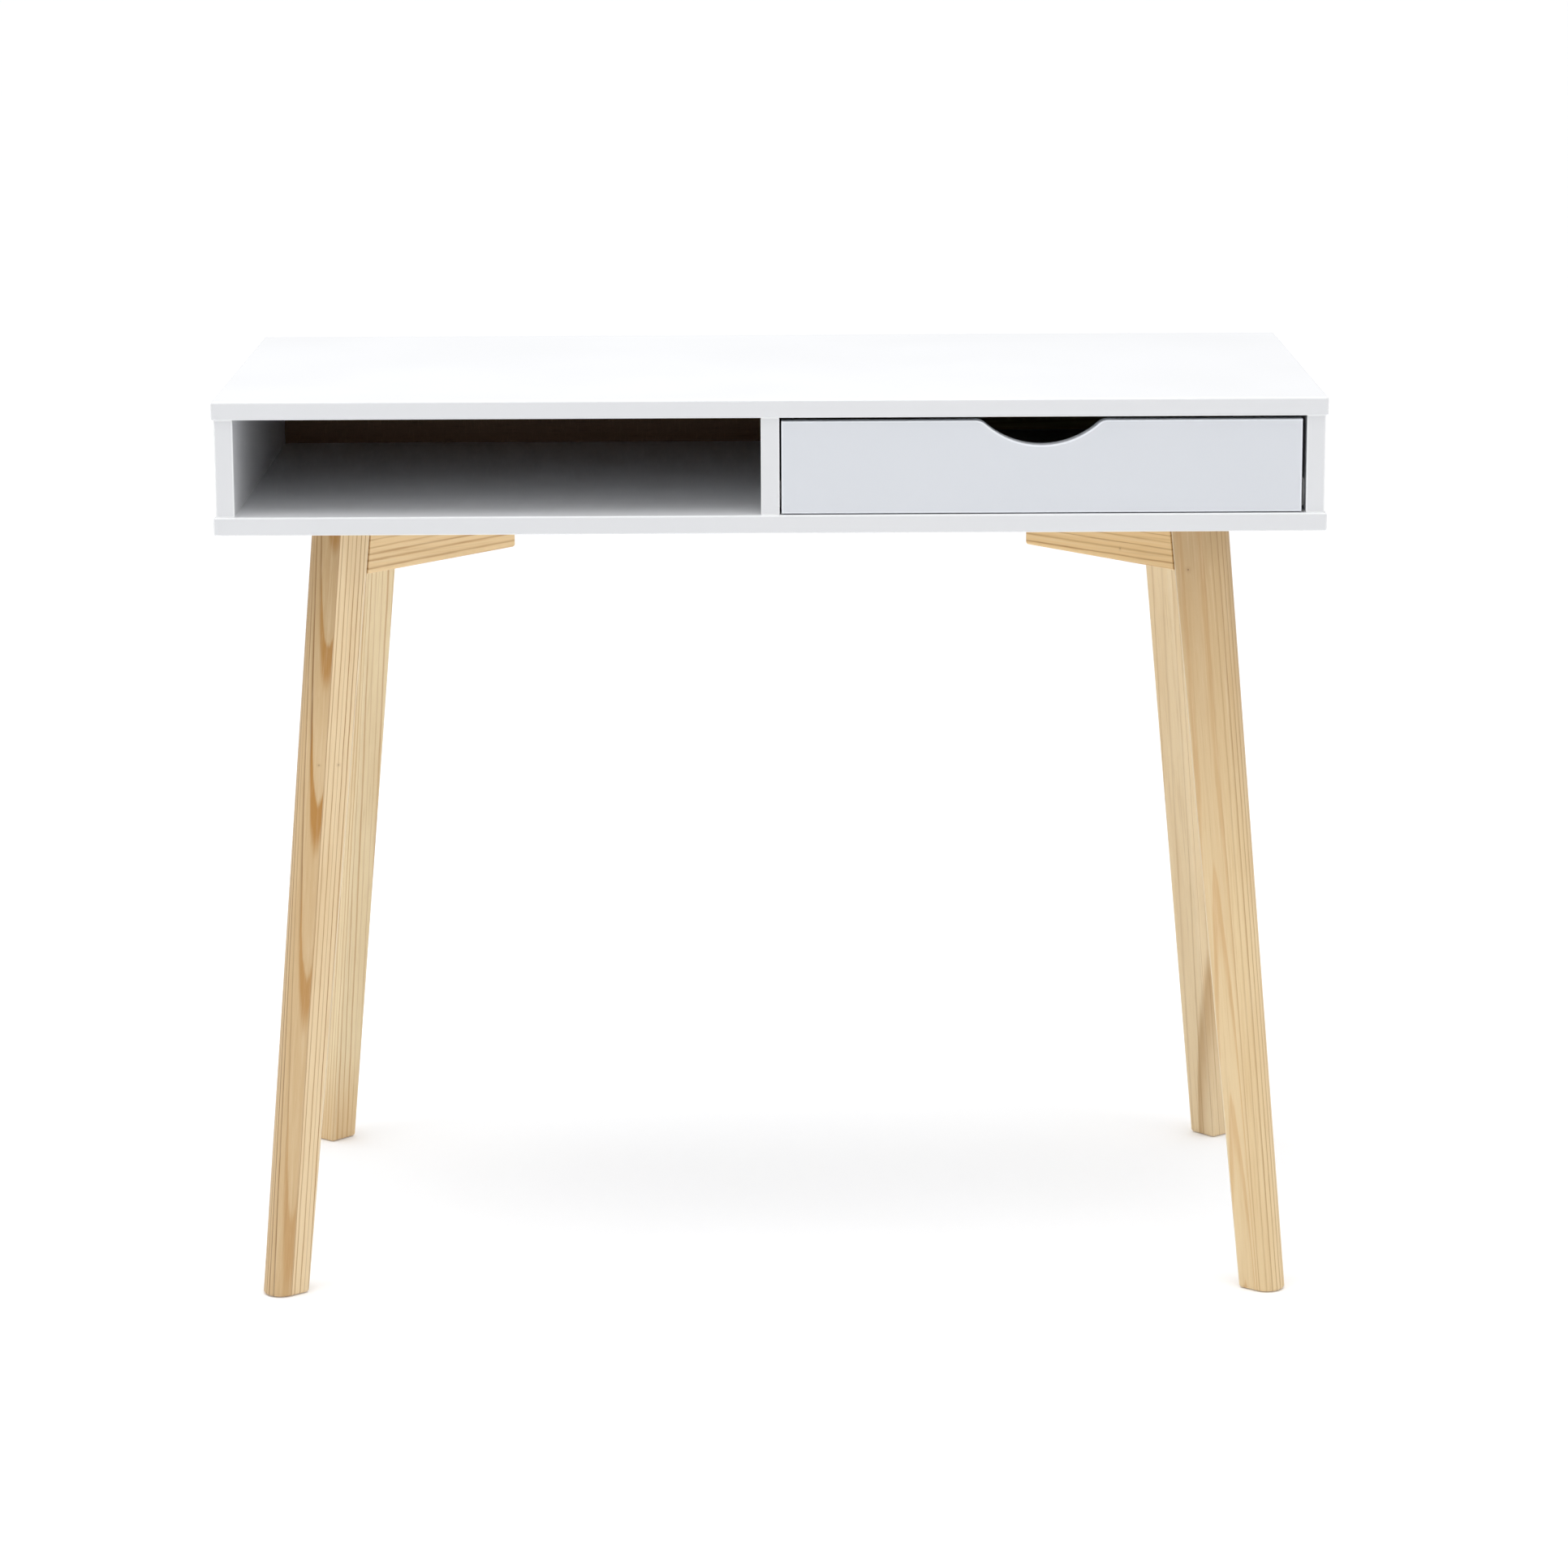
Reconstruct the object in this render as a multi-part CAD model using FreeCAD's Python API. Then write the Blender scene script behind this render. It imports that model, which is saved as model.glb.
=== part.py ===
import FreeCAD, Part
import math
import os

Vec = FreeCAD.Vector

# All lengths are millimetres. X runs along the desk, the front faces -Y, Z is up from the floor.

# Whole desk
desk_width = 900.0
desk_depth = 450.0
desk_height = 742.0

# Lacquered carcass
panel_thickness = 15.0
opening_height = 79.0
side_inset = 2.0
front_setback = 2.0
panel_round = 2.0
upright_round = 1.0

# Back panel, held in a groove
back_thickness = 3.0
back_inset = 6.0
groove_depth = 5.0
groove_end_play = 0.5
groove_fit = 0.15

# Wooden dowels
dowel_radius = 4.0
dowel_chamfer = 0.8
dowel_fit = 0.1
dowel_end_play = 0.5
dowel_upright_depth = 20.0
panel_hole_share = 0.66
top_dowel_shares = (0.14, 0.5, 0.86)
bottom_dowel_shares = (0.5,)

# Carcass screws, driven from below into the uprights
carcass_screw_radius = 2.5
carcass_screw_head_radius = 5.0
carcass_screw_head_height = 3.0
carcass_screw_bite = 35.0
carcass_screw_shares = (0.14, 0.86)

# Pine legs, each in a diagonal upright plane
leg_plane_angle = 41.0
leg_thickness = 30.0
leg_top_width = 45.0
leg_foot_width = 33.0
leg_splay = 73.8
leg_end_inset = 97.8
leg_front_inset = 34.8
leg_nose_flat = 2.0
leg_arris_round = 3.2
foot_round = 2.6
leg_dowel_depth = 20.0
leg_dowel_shift_share = 0.15

# Pine arms under the carcass
arm_length = 149.3
arm_root_height = 37.5
arm_tip_height = 31.3
arm_round = 2.6
arm_dowel_depth = 24.0
arm_dowel_leg_share = 0.32
arm_dowel_height_shares = (0.28, 0.68)
arm_screw_shares = (0.34, 0.8)
arm_screw_radius = 2.5
arm_screw_head_radius = 5.0
arm_screw_head_height = 4.0
arm_screw_grip = 21.0

# Drives of the screw heads
drive_width_share = 0.5
drive_depth_share = 0.6

# Drawer front with the finger cut-out
front_gap_left = 1.6
front_gap_right = 3.5
front_gap_top = 3.0
front_gap_bottom = 0.8
drawer_front_thickness = 15.0
drawer_front_round = 1.2
cut_out_depth = 20.4
cut_out_bow = 68.5
cut_out_ease = 12.0

# Drawer box
drawer_board = 12.0
drawer_side_height = 50.0
drawer_rear_gap = 44.0
drawer_top_round = 2.0
drawer_bottom_thickness = 3.0
drawer_bottom_lift = 9.0
drawer_dowel_radius = 3.0
drawer_dowel_side_depth = 19.0
drawer_dowel_front_share = 0.6
drawer_dowel_shares = (0.5, 0.82)
drawer_screw_bite = 20.0
drawer_screw_shares = (0.62, 0.86)

# Roller slides
slide_space = 12.5
rail_front_gap = 2.0
rail_rear_gap = 28.0
rail_lift = 3.0
sheet = 1.2
bend_round = 0.6
rail_flange = 10.3
rail_lip = 9.0
rail_lip_gap = 0.8
track_gap = 2.5
drawer_rail_foot = 10.0
stop_height = 4.0
stop_lead = 8.0
run_gap = 0.3
roller_radius = 9.0
roller_width = 5.5
roller_bore_gap = 0.08
roller_chamfer = 0.7
roller_end_inset = 12.0
cabinet_roller_gap = 1.4
drawer_roller_gap = 1.6
axle_radius = 2.0
axle_head_radius = 3.5
axle_head_height = 0.8
axle_side_play = 0.2
small_screw_radius = 1.75
small_screw_head_radius = 3.5
small_screw_head_height = 1.0
small_screw_bite = 10.5
cabinet_rail_screw_shares = (0.15, 0.55, 0.92)
drawer_rail_screw_shares = (0.12, 0.5, 0.88)
drawer_rail_screw_lift = 4.5

# Cuts run past the stock by this much, and screw holes are wider than the screws by the second
overrun = 1.0
screw_fit = 0.15
tiny = 0.001

# Levels and faces that several pieces share
under_z = desk_height - 2 * panel_thickness - opening_height
floor_z = under_z + panel_thickness
ceiling_z = floor_z + opening_height
front_y = -desk_depth / 2
rear_y = desk_depth / 2
upright_front_y = front_y + front_setback
back_rear_y = rear_y - back_inset
back_front_y = back_rear_y - back_thickness
side_outer_x = desk_width / 2 - side_inset
side_inner_x = side_outer_x - panel_thickness
divider_x = panel_thickness / 2
panel_hole = panel_thickness * panel_hole_share
rail_floor_z = floor_z + rail_lift + sheet
front_board_rear_y = upright_front_y + drawer_front_thickness
drawer_rear_y = back_front_y - drawer_rear_gap
axle_z = rail_floor_z + run_gap + roller_radius
track_z = axle_z + roller_radius + run_gap
rail_front_y = front_board_rear_y + rail_front_gap
rail_rear_y = drawer_rear_y - rail_rear_gap
lean_slope = (leg_splay + (leg_top_width - leg_foot_width) / 2) / under_z


def block(x0, x1, y0, y1, z0, z1):
    low_x = min(x0, x1)
    return Part.makeBox(abs(x1 - x0), y1 - y0, z1 - z0, Vec(low_x, y0, z0))


def rod(start, direction, length, radius):
    return Part.makeCylinder(radius, length, start, direction)


def cone(start, direction, length, radius, end_radius):
    return Part.makeCone(radius, end_radius, length, start, direction)


def cut_all(stock, tools):
    return stock.cut(tools) if tools else stock


def plate_from_points(points, direction):
    outline = Part.makePolygon(points + points[:1])
    return Part.Face(outline).extrude(direction)


def middle(edge):
    return edge.valueAt((edge.FirstParameter + edge.LastParameter) / 2)


def edges_through(shape, points):
    return [edge for edge in shape.Edges
            if any(middle(edge).distanceToPoint(point) < tiny for point in points)]


def shared(low, high, shares):
    return [low + (high - low) * share for share in shares]


# Fasteners

def dowel(start, direction, length, radius):
    pin = rod(start, direction, length, radius)
    ends = [edge for edge in pin.Edges if isinstance(edge.Curve, Part.Circle)]
    return pin.makeChamfer(dowel_chamfer, ends)


def drive(seat, direction, head_radius, head_height):
    width = head_radius * drive_width_share
    depth = head_height * drive_depth_share
    turn = FreeCAD.Rotation(Vec(0, 0, 1), direction)
    corners = []
    for step in range(6):
        angle = math.radians(60 * step)
        corner = Vec(width * math.cos(angle), width * math.sin(angle), 0)
        corners.append(seat + turn.multVec(corner))
    return plate_from_points(corners, direction * depth)


def pan_screw(seat, direction, length, radius, head_radius, head_height):
    # The head stands back from the seat, the shank runs forward from it
    head_end = seat - direction * head_height
    body = rod(head_end, direction, head_height, head_radius)
    body = body.fuse(rod(seat - direction * head_height / 2, direction, length + head_height / 2, radius))
    return body.removeSplitter().cut(drive(head_end, direction, head_radius, head_height))


def sunk_screw(face, direction, length, radius, head_radius, head_height):
    # The flat head ends level with the face it is driven through
    body = cone(face, direction, head_height, head_radius, radius)
    body = body.fuse(rod(face + direction * head_height, direction, length - head_height, radius))
    return body.removeSplitter().cut(drive(face, direction, head_radius, head_height))


def sunk_hole(face, direction, length, radius, head_radius, head_height):
    hole = rod(face, direction, length + screw_fit, radius + screw_fit)
    mouth = cone(face - direction * screw_fit, direction, head_height + screw_fit,
                 head_radius + 2 * screw_fit, radius + screw_fit)
    return [hole, mouth]


up = Vec(0, 0, 1)
down = Vec(0, 0, -1)


# Carcass

upright_ranges = {
    "left_side_panel": (-side_outer_x, -side_inner_x, rear_y),
    "divider_panel": (-divider_x, divider_x, back_front_y - groove_fit),
    "right_side_panel": (side_inner_x, side_outer_x, rear_y),
}


def upright_spots(name, shares):
    x0, x1, end_y = upright_ranges[name]
    return [((x0 + x1) / 2, y) for y in shared(upright_front_y, end_y, shares)]


carcass_dowels = []
carcass_screws = []
top_holes = []
bottom_holes = []
upright_holes = {name: [] for name in upright_ranges}
dowel_hole_radius = dowel_radius + dowel_fit
pin_length = panel_hole + dowel_upright_depth
for name in upright_ranges:
    for x, y in upright_spots(name, top_dowel_shares):
        low = Vec(x, y, ceiling_z - dowel_upright_depth)
        carcass_dowels.append(dowel(low, up, pin_length, dowel_radius))
        hole = rod(low - up * dowel_end_play, up, pin_length + 2 * dowel_end_play, dowel_hole_radius)
        top_holes.append(hole)
        upright_holes[name].append(hole)
    for x, y in upright_spots(name, bottom_dowel_shares):
        low = Vec(x, y, floor_z - panel_hole)
        carcass_dowels.append(dowel(low, up, pin_length, dowel_radius))
        hole = rod(low - up * dowel_end_play, up, pin_length + 2 * dowel_end_play, dowel_hole_radius)
        bottom_holes.append(hole)
        upright_holes[name].append(hole)
    for x, y in upright_spots(name, carcass_screw_shares):
        spot = Vec(x, y, under_z)
        length = panel_thickness + carcass_screw_bite
        sizes = (length, carcass_screw_radius, carcass_screw_head_radius, carcass_screw_head_height)
        carcass_screws.append(sunk_screw(spot, up, *sizes))
        hole = sunk_hole(spot, up, *sizes)
        bottom_holes.extend(hole)
        upright_holes[name].append(hole[0])

groove_x = side_inner_x + groove_depth
groove = block(-groove_x, groove_x, back_front_y - groove_fit, back_rear_y + groove_fit,
               floor_z - groove_depth, ceiling_z + groove_depth)


def flat_panel(z0, z1):
    panel = block(-desk_width / 2, desk_width / 2, front_y, rear_y, z0, z1)
    return panel.makeFillet(panel_round, panel.Edges)


def upright(name):
    x0, x1, end_y = upright_ranges[name]
    board = block(x0, x1, upright_front_y, end_y, floor_z, ceiling_z)
    mid_z = (floor_z + ceiling_z) / 2
    board = board.makeFillet(upright_round, edges_through(board, [
        Vec(x0, upright_front_y, mid_z), Vec(x1, upright_front_y, mid_z)]))
    return cut_all(board, upright_holes[name] + [groove])


def back_panel():
    half = groove_x - groove_end_play
    return block(-half, half, back_front_y, back_rear_y,
                 floor_z - groove_depth + groove_end_play, ceiling_z + groove_depth - groove_end_play)


# Legs and arms: drawn in their own diagonal plane, u inward, z up, then turned to the corner

class Corner:
    def __init__(self, side, end):
        angle = math.radians(leg_plane_angle)
        self.origin = Vec(side * (desk_width / 2 - leg_end_inset),
                          end * (desk_depth / 2 - leg_front_inset), 0)
        self.inward = Vec(-side * math.cos(angle), -end * math.sin(angle), 0)
        self.across = up.cross(self.inward)

    def at(self, u, v, z):
        return self.origin + self.inward * u + self.across * v + up * z


corners = {
    "front_left": Corner(-1, -1),
    "front_right": Corner(1, -1),
    "back_left": Corner(-1, 1),
    "back_right": Corner(1, 1),
}


def leg_inner_u(z):
    return leg_top_width / 2 - (under_z - z) * lean_slope


def profile_plate(corner, points):
    half = leg_thickness / 2
    return plate_from_points([corner.at(u, -half, z) for u, z in points], corner.across * leg_thickness)


def edge_spots(corner, first, second):
    half = leg_thickness / 2
    u = (first[0] + second[0]) / 2
    z = (first[1] + second[1]) / 2
    return [corner.at(u, -half, z), corner.at(u, half, z)]


def leg_blank(corner):
    # The outer edge is a nearly half-round nose, the inner edge has eased arrises
    outer_top = (-leg_top_width / 2, under_z)
    inner_top = (leg_top_width / 2, under_z)
    inner_foot = (leg_inner_u(0), 0)
    outer_foot = (leg_inner_u(0) - leg_foot_width, 0)
    leg = profile_plate(corner, [outer_top, inner_top, inner_foot, outer_foot])
    nose_round = (leg_thickness - leg_nose_flat) / 2
    leg = leg.makeFillet(nose_round, edges_through(leg, edge_spots(corner, outer_top, outer_foot)))
    leg = leg.makeFillet(leg_arris_round, edges_through(leg, edge_spots(corner, inner_top, inner_foot)))
    foot_edges = [edge for edge in leg.Edges if edge.BoundBox.ZMax < tiny]
    return leg.makeFillet(foot_round, foot_edges)


def arm_tip_u():
    return leg_top_width / 2 + arm_length


def arm_blank(corner):
    root_z = under_z - arm_root_height
    root_top = (leg_inner_u(under_z), under_z)
    root_low = (leg_inner_u(root_z), root_z)
    tip_top = (arm_tip_u(), under_z)
    tip_low = (arm_tip_u(), under_z - arm_tip_height)
    arm = profile_plate(corner, [root_top, tip_top, tip_low, root_low])
    spots = edge_spots(corner, root_low, tip_low) + edge_spots(corner, tip_top, tip_low)
    spots.append(corner.at(tip_low[0], 0, tip_low[1]))
    return arm.makeFillet(arm_round, edges_through(arm, spots))


legs = {}
arms = {}
leg_dowels = []
arm_dowels = []
arm_screws = []
for place, corner in corners.items():
    leg_cuts = []
    arm_cuts = []
    foot_of_pin = corner.at(-leg_top_width * leg_dowel_shift_share, 0, under_z - leg_dowel_depth)
    top_pin = leg_dowel_depth + panel_hole
    leg_dowels.append(dowel(foot_of_pin, up, top_pin, dowel_radius))
    hole = rod(foot_of_pin - up * dowel_end_play, up, top_pin + 2 * dowel_end_play, dowel_hole_radius)
    leg_cuts.append(hole)
    bottom_holes.append(hole)
    for share in arm_dowel_height_shares:
        z = under_z - arm_root_height * share
        leg_depth = leg_top_width * arm_dowel_leg_share
        start = corner.at(leg_inner_u(z) - leg_depth, 0, z)
        length = leg_depth + arm_dowel_depth
        arm_dowels.append(dowel(start, corner.inward, length, dowel_radius))
        hole = rod(start - corner.inward * dowel_end_play, corner.inward,
                   length + 2 * dowel_end_play, dowel_hole_radius)
        leg_cuts.append(hole)
        arm_cuts.append(hole)
    for share in arm_screw_shares:
        seat = corner.at(leg_top_width / 2 + arm_length * share, 0, under_z - arm_screw_grip)
        length = arm_screw_grip + panel_hole
        arm_screws.append(pan_screw(seat, up, length, arm_screw_radius,
                                    arm_screw_head_radius, arm_screw_head_height))
        hole = rod(seat, up, length + dowel_end_play, arm_screw_radius + screw_fit)
        well = rod(seat, down, arm_root_height - arm_screw_grip + overrun, arm_screw_head_radius + screw_fit)
        arm_cuts.extend([hole, well])
        bottom_holes.append(hole)
    legs[place] = cut_all(leg_blank(corner), leg_cuts)
    arms[place] = cut_all(arm_blank(corner), arm_cuts)


# Drawer

opening_left_x = divider_x
opening_right_x = side_inner_x
box_left_x = opening_left_x + slide_space
box_right_x = opening_right_x - slide_space
side_top_z = rail_floor_z + drawer_side_height
tray_z = rail_floor_z + drawer_bottom_lift
tray_reach = groove_depth - groove_end_play

tray_groove = block(box_left_x + drawer_board - groove_depth, box_right_x - drawer_board + groove_depth,
                    front_board_rear_y - groove_depth, drawer_rear_y - drawer_board + groove_depth,
                    tray_z - groove_fit, tray_z + drawer_bottom_thickness + groove_fit)

drawer_sides = {"left": (box_left_x, 1), "right": (box_right_x, -1)}
drawer_dowels = []
drawer_screws = []
front_holes = []
back_holes = []
side_holes = {"left": [], "right": []}
for hand, (outer_x, inward) in drawer_sides.items():
    mid_x = outer_x + inward * drawer_board / 2
    front_depth = drawer_front_thickness * drawer_dowel_front_share
    for z in shared(rail_floor_z, side_top_z, drawer_dowel_shares):
        start = Vec(mid_x, front_board_rear_y - front_depth, z)
        length = front_depth + drawer_dowel_side_depth
        drawer_dowels.append(dowel(start, Vec(0, 1, 0), length, drawer_dowel_radius))
        hole = rod(start - Vec(0, dowel_end_play, 0), Vec(0, 1, 0),
                   length + 2 * dowel_end_play, drawer_dowel_radius + dowel_fit)
        front_holes.append(hole)
        side_holes[hand].append(hole)
    for z in shared(rail_floor_z, side_top_z, drawer_screw_shares):
        face = Vec(outer_x, drawer_rear_y - drawer_board / 2, z)
        sizes = (drawer_board + drawer_screw_bite, small_screw_radius,
                 small_screw_head_radius, small_screw_head_height)
        drawer_screws.append(sunk_screw(face, Vec(inward, 0, 0), *sizes))
        hole = sunk_hole(face, Vec(inward, 0, 0), *sizes)
        side_holes[hand].extend(hole)
        back_holes.append(hole[0])


def drawer_front():
    # The cut-out is one wide bow, run out into the top edge by two easing arcs that touch it
    x0 = opening_left_x + front_gap_left
    x1 = opening_right_x - front_gap_right
    z0 = floor_z + front_gap_bottom
    z1 = ceiling_z - front_gap_top
    mid_x = (x0 + x1) / 2
    reach = cut_out_bow + cut_out_ease
    half_width = math.sqrt(reach * reach - (reach - cut_out_depth) * (reach - cut_out_depth))
    touch_x = half_width * cut_out_bow / reach
    touch_z = z1 + (cut_out_bow - cut_out_depth) - (reach - cut_out_depth) * cut_out_bow / reach
    ease_z = z1 - cut_out_ease
    lean = math.atan2(reach - cut_out_depth, half_width)
    ease_angle = (math.pi / 2 + math.pi - lean) / 2

    def spot(x, z):
        return Vec(x, upright_front_y, z)

    def ease_middle(side):
        return spot(mid_x + side * (half_width + cut_out_ease * math.cos(ease_angle)),
                    ease_z + cut_out_ease * math.sin(ease_angle))

    left_end = spot(mid_x - half_width, z1)
    left_touch = spot(mid_x - touch_x, touch_z)
    right_touch = spot(mid_x + touch_x, touch_z)
    right_end = spot(mid_x + half_width, z1)
    rim = [
        Part.LineSegment(spot(x0, z0), spot(x0, z1)).toShape(),
        Part.LineSegment(spot(x0, z1), left_end).toShape(),
        Part.Arc(left_end, ease_middle(-1), left_touch).toShape(),
        Part.Arc(left_touch, spot(mid_x, z1 - cut_out_depth), right_touch).toShape(),
        Part.Arc(right_touch, ease_middle(1), right_end).toShape(),
        Part.LineSegment(right_end, spot(x1, z1)).toShape(),
        Part.LineSegment(spot(x1, z1), spot(x1, z0)).toShape(),
        Part.LineSegment(spot(x1, z0), spot(x0, z0)).toShape(),
    ]
    board = Part.Face(Part.Wire(rim)).extrude(Vec(0, drawer_front_thickness, 0))
    rims = [edge for edge in board.Edges if edge.BoundBox.YLength < drawer_front_thickness / 2]
    board = board.makeFillet(drawer_front_round, rims)
    return cut_all(board, front_holes + [tray_groove])


def drawer_side(hand):
    # The top edges are rounded, and the lower outer edge is eased to sit in the bend of its rail
    outer_x, inward = drawer_sides[hand]
    inner_x = outer_x + inward * drawer_board
    mid_y = (front_board_rear_y + drawer_rear_y) / 2
    board = block(outer_x, inner_x, front_board_rear_y, drawer_rear_y, rail_floor_z, side_top_z)
    board = board.makeFillet(drawer_top_round, edges_through(board, [
        Vec(outer_x, mid_y, side_top_z), Vec(inner_x, mid_y, side_top_z)]))
    lower_edge = edges_through(board, [Vec(outer_x, mid_y, rail_floor_z)])
    board = board.makeChamfer(bend_round + groove_fit, lower_edge)
    return cut_all(board, side_holes[hand] + rail_pilots[hand] + [tray_groove])


def drawer_back():
    front_face_y = drawer_rear_y - drawer_board
    mid_x = (box_left_x + box_right_x) / 2
    board = block(box_left_x + drawer_board, box_right_x - drawer_board,
                  front_face_y, drawer_rear_y, rail_floor_z, side_top_z)
    board = board.makeFillet(drawer_top_round, edges_through(board, [
        Vec(mid_x, front_face_y, side_top_z), Vec(mid_x, drawer_rear_y, side_top_z)]))
    return cut_all(board, back_holes + [tray_groove])


def drawer_bottom():
    return block(box_left_x + drawer_board - tray_reach, box_right_x - drawer_board + tray_reach,
                 front_board_rear_y - tray_reach, drawer_rear_y - drawer_board + tray_reach,
                 tray_z, tray_z + drawer_bottom_thickness)


# Roller slides: x is counted from the upright towards the drawer

class Slide:
    def __init__(self, wall_x, inward):
        self.wall_x = wall_x
        self.inward = inward
        self.axis = Vec(inward, 0, 0)

    def x(self, depth):
        return self.wall_x + self.inward * depth

    def spot(self, depth, y, z):
        return Vec(self.x(depth), y, z)

    def bar(self, d0, d1, y0, y1, z0, z1):
        return block(self.x(d0), self.x(d1), y0, y1, z0, z1)


slides = {"left": Slide(opening_left_x, 1), "right": Slide(opening_right_x, -1)}
web_x = slide_space - sheet
lip_z = track_z + sheet + rail_lip_gap
base_z = rail_floor_z - sheet
cabinet_axle_y = rail_front_y + roller_end_inset
drawer_axle_y = rail_rear_y - roller_end_inset
cabinet_roller_x = sheet + cabinet_roller_gap
drawer_roller_x = web_x - drawer_roller_gap


def folded_sheet(slide, strips, inner, outer):
    # Flat strips the length of the rail, rounded inside and outside each bend
    bars = [slide.bar(d0, d1, rail_front_y, rail_rear_y, z0, z1) for d0, d1, z0, z1 in strips]
    rail = bars[0].fuse(bars[1:]).removeSplitter()
    for radius, bends in ((bend_round, inner), (bend_round + sheet, outer)):
        spots = [slide.spot(depth, (rail_front_y + rail_rear_y) / 2, z) for depth, z in bends]
        rail = rail.makeFillet(radius, edges_through(rail, spots))
    return rail


def cabinet_rail(slide, holes):
    rail = folded_sheet(slide,
                        [(0, sheet, base_z, lip_z + sheet), (0, rail_flange, base_z, rail_floor_z),
                         (0, rail_lip, lip_z, lip_z + sheet)],
                        inner=[(sheet, rail_floor_z), (sheet, lip_z)],
                        outer=[(0, base_z), (0, lip_z + sheet)])
    # A tab bent up from the flange behind the cabinet roller stops the drawer roller
    stop_y = cabinet_axle_y + roller_radius + stop_lead
    stop = slide.bar(drawer_roller_x - roller_width, drawer_roller_x, stop_y, stop_y + sheet,
                     rail_floor_z - sheet / 2, rail_floor_z + stop_height)
    return cut_all(rail.fuse(stop).removeSplitter(), holes)


def drawer_rail(slide, holes):
    foot_x = slide_space + drawer_rail_foot
    rail = folded_sheet(slide,
                        [(web_x, slide_space, base_z, track_z + sheet), (web_x, foot_x, base_z, rail_floor_z),
                         (track_gap, slide_space, track_z, track_z + sheet)],
                        inner=[(slide_space, rail_floor_z), (web_x, track_z)],
                        outer=[(web_x, base_z), (slide_space, track_z + sheet)])
    return cut_all(rail, holes)


def roller(slide, near_x, y):
    start = slide.spot(near_x, y, axle_z)
    wheel = rod(start, slide.axis, roller_width, roller_radius)
    rims = [edge for edge in wheel.Edges if isinstance(edge.Curve, Part.Circle)]
    wheel = wheel.makeChamfer(roller_chamfer, rims)
    bore = rod(start - slide.axis * overrun, slide.axis, roller_width + 2 * overrun,
               axle_radius + roller_bore_gap)
    return wheel.cut(bore)


def axle(slide, root_x, direction, reach, y):
    # A headed pin, welded to the rail at its root
    way = slide.axis * direction
    root = slide.spot(root_x, y, axle_z)
    pin = rod(root, way, reach + axle_head_height / 2, axle_radius)
    return pin.fuse(rod(root + way * reach, way, axle_head_height, axle_head_radius)).removeSplitter()


cabinet_rails = {}
drawer_rails = {}
cabinet_rollers = {}
drawer_rollers = {}
cabinet_axles = []
drawer_axles = []
cabinet_rail_screws = []
drawer_rail_screws = []
rail_pilots = {}
wall_names = {"left": "divider_panel", "right": "right_side_panel"}
small_screw = (small_screw_bite + sheet, small_screw_radius, small_screw_head_radius, small_screw_head_height)
for hand, slide in slides.items():
    holes = []
    for y in shared(rail_front_y, rail_rear_y, cabinet_rail_screw_shares):
        seat = slide.spot(sheet, y, axle_z)
        cabinet_rail_screws.append(pan_screw(seat, slide.axis * -1, *small_screw))
        holes.append(rod(seat, slide.axis * -1, small_screw_bite + sheet + screw_fit,
                         small_screw_radius + screw_fit))
    upright_holes[wall_names[hand]].extend(holes)
    cabinet_rails[hand] = cabinet_rail(slide, holes)
    holes = []
    for y in shared(rail_front_y, rail_rear_y, drawer_rail_screw_shares):
        seat = slide.spot(web_x, y, rail_floor_z + drawer_rail_screw_lift)
        drawer_rail_screws.append(pan_screw(seat, slide.axis, *small_screw))
        holes.append(rod(seat, slide.axis, small_screw_bite + sheet + screw_fit,
                         small_screw_radius + screw_fit))
    rail_pilots[hand] = holes
    drawer_rails[hand] = drawer_rail(slide, holes)
    cabinet_rollers[hand] = roller(slide, cabinet_roller_x, cabinet_axle_y)
    drawer_rollers[hand] = roller(slide, drawer_roller_x - roller_width, drawer_axle_y)
    cabinet_axles.append(axle(slide, sheet, 1, cabinet_roller_gap + roller_width + axle_side_play,
                              cabinet_axle_y))
    drawer_axles.append(axle(slide, web_x, -1, drawer_roller_gap + roller_width + axle_side_play,
                             drawer_axle_y))


# Every piece under its own name

pieces = {
    "top_panel": cut_all(flat_panel(ceiling_z, desk_height), top_holes + [groove]),
    "bottom_panel": cut_all(flat_panel(under_z, floor_z), bottom_holes + [groove]),
    "left_side_panel": upright("left_side_panel"),
    "divider_panel": upright("divider_panel"),
    "right_side_panel": upright("right_side_panel"),
    "back_panel": back_panel(),
    "carcass_dowels": Part.makeCompound(carcass_dowels),
    "carcass_screws": Part.makeCompound(carcass_screws),
    "leg_dowels": Part.makeCompound(leg_dowels),
    "arm_dowels": Part.makeCompound(arm_dowels),
    "arm_screws": Part.makeCompound(arm_screws),
    "drawer_front": drawer_front(),
    "drawer_left_side": drawer_side("left"),
    "drawer_right_side": drawer_side("right"),
    "drawer_back": drawer_back(),
    "drawer_bottom": drawer_bottom(),
    "drawer_dowels": Part.makeCompound(drawer_dowels),
    "drawer_screws": Part.makeCompound(drawer_screws),
    "cabinet_axles": Part.makeCompound(cabinet_axles),
    "drawer_axles": Part.makeCompound(drawer_axles),
    "cabinet_rail_screws": Part.makeCompound(cabinet_rail_screws),
    "drawer_rail_screws": Part.makeCompound(drawer_rail_screws),
}
for place in corners:
    pieces["leg_" + place] = legs[place]
    pieces["arm_" + place] = arms[place]
for hand in slides:
    pieces["cabinet_rail_" + hand] = cabinet_rails[hand]
    pieces["drawer_rail_" + hand] = drawer_rails[hand]
    pieces["cabinet_roller_" + hand] = cabinet_rollers[hand]
    pieces["drawer_roller_" + hand] = drawer_rollers[hand]

os.makedirs("parts", exist_ok=True)
for name, shape in pieces.items():
    shape.exportStep("parts/" + name + ".step")
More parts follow.
